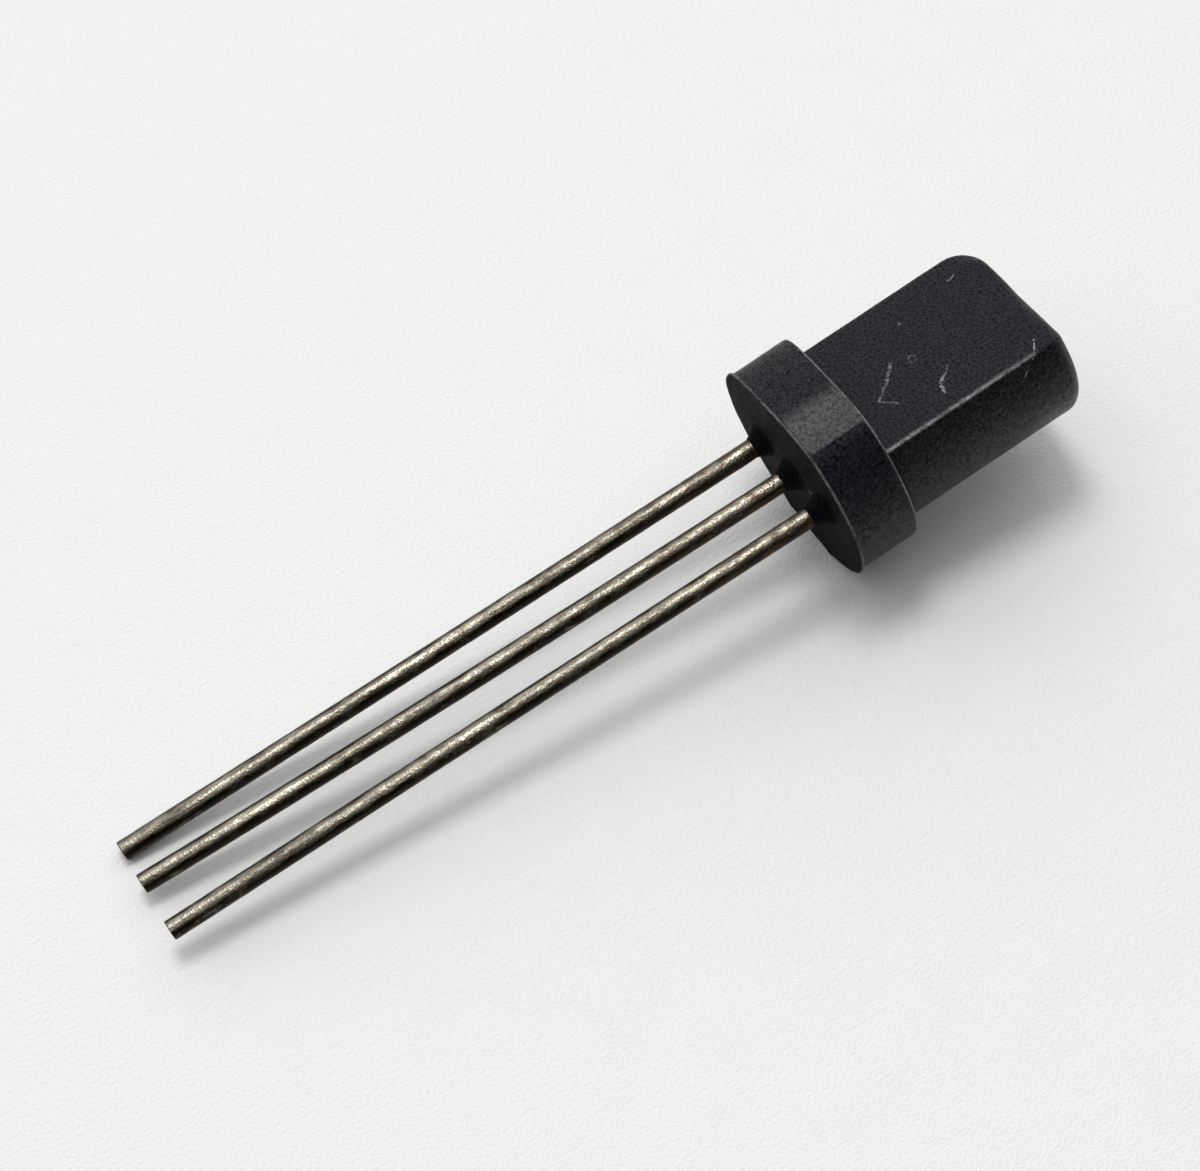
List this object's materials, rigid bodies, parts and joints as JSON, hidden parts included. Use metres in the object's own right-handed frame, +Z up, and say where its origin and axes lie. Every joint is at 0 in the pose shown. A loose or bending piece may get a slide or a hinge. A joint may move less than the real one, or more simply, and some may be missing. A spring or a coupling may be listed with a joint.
{
  "type": "to-92 transistor",
  "caption": "small plastic signal transistor with a round collar, a flat-sided moulded head and straight round wire leads in line",
  "frame": {"origin": "on the surface the part lies on, under the middle of its bounding box", "axes": "+Z up from the surface, +X from the lead tips toward the head, +Y toward the emitter lead's side"},
  "size_m": [0.0222, 0.005, 0.005],
  "materials": {
    "moulded_epoxy": "matte",
    "tinned_wire": "satin",
    "silicon": "polished",
    "die_solder": "satin",
    "gold_wire": "polished"
  },
  "bodies": {
    "root": {"epoxy_body": "moulded_epoxy", "emitter_lead": "tinned_wire", "collector_lead": "tinned_wire", "base_lead": "tinned_wire", "silicon_die": "silicon", "die_attach": "die_solder", "emitter_bond_wire": "gold_wire", "base_bond_wire": "gold_wire"}
  },
  "joints": []
}
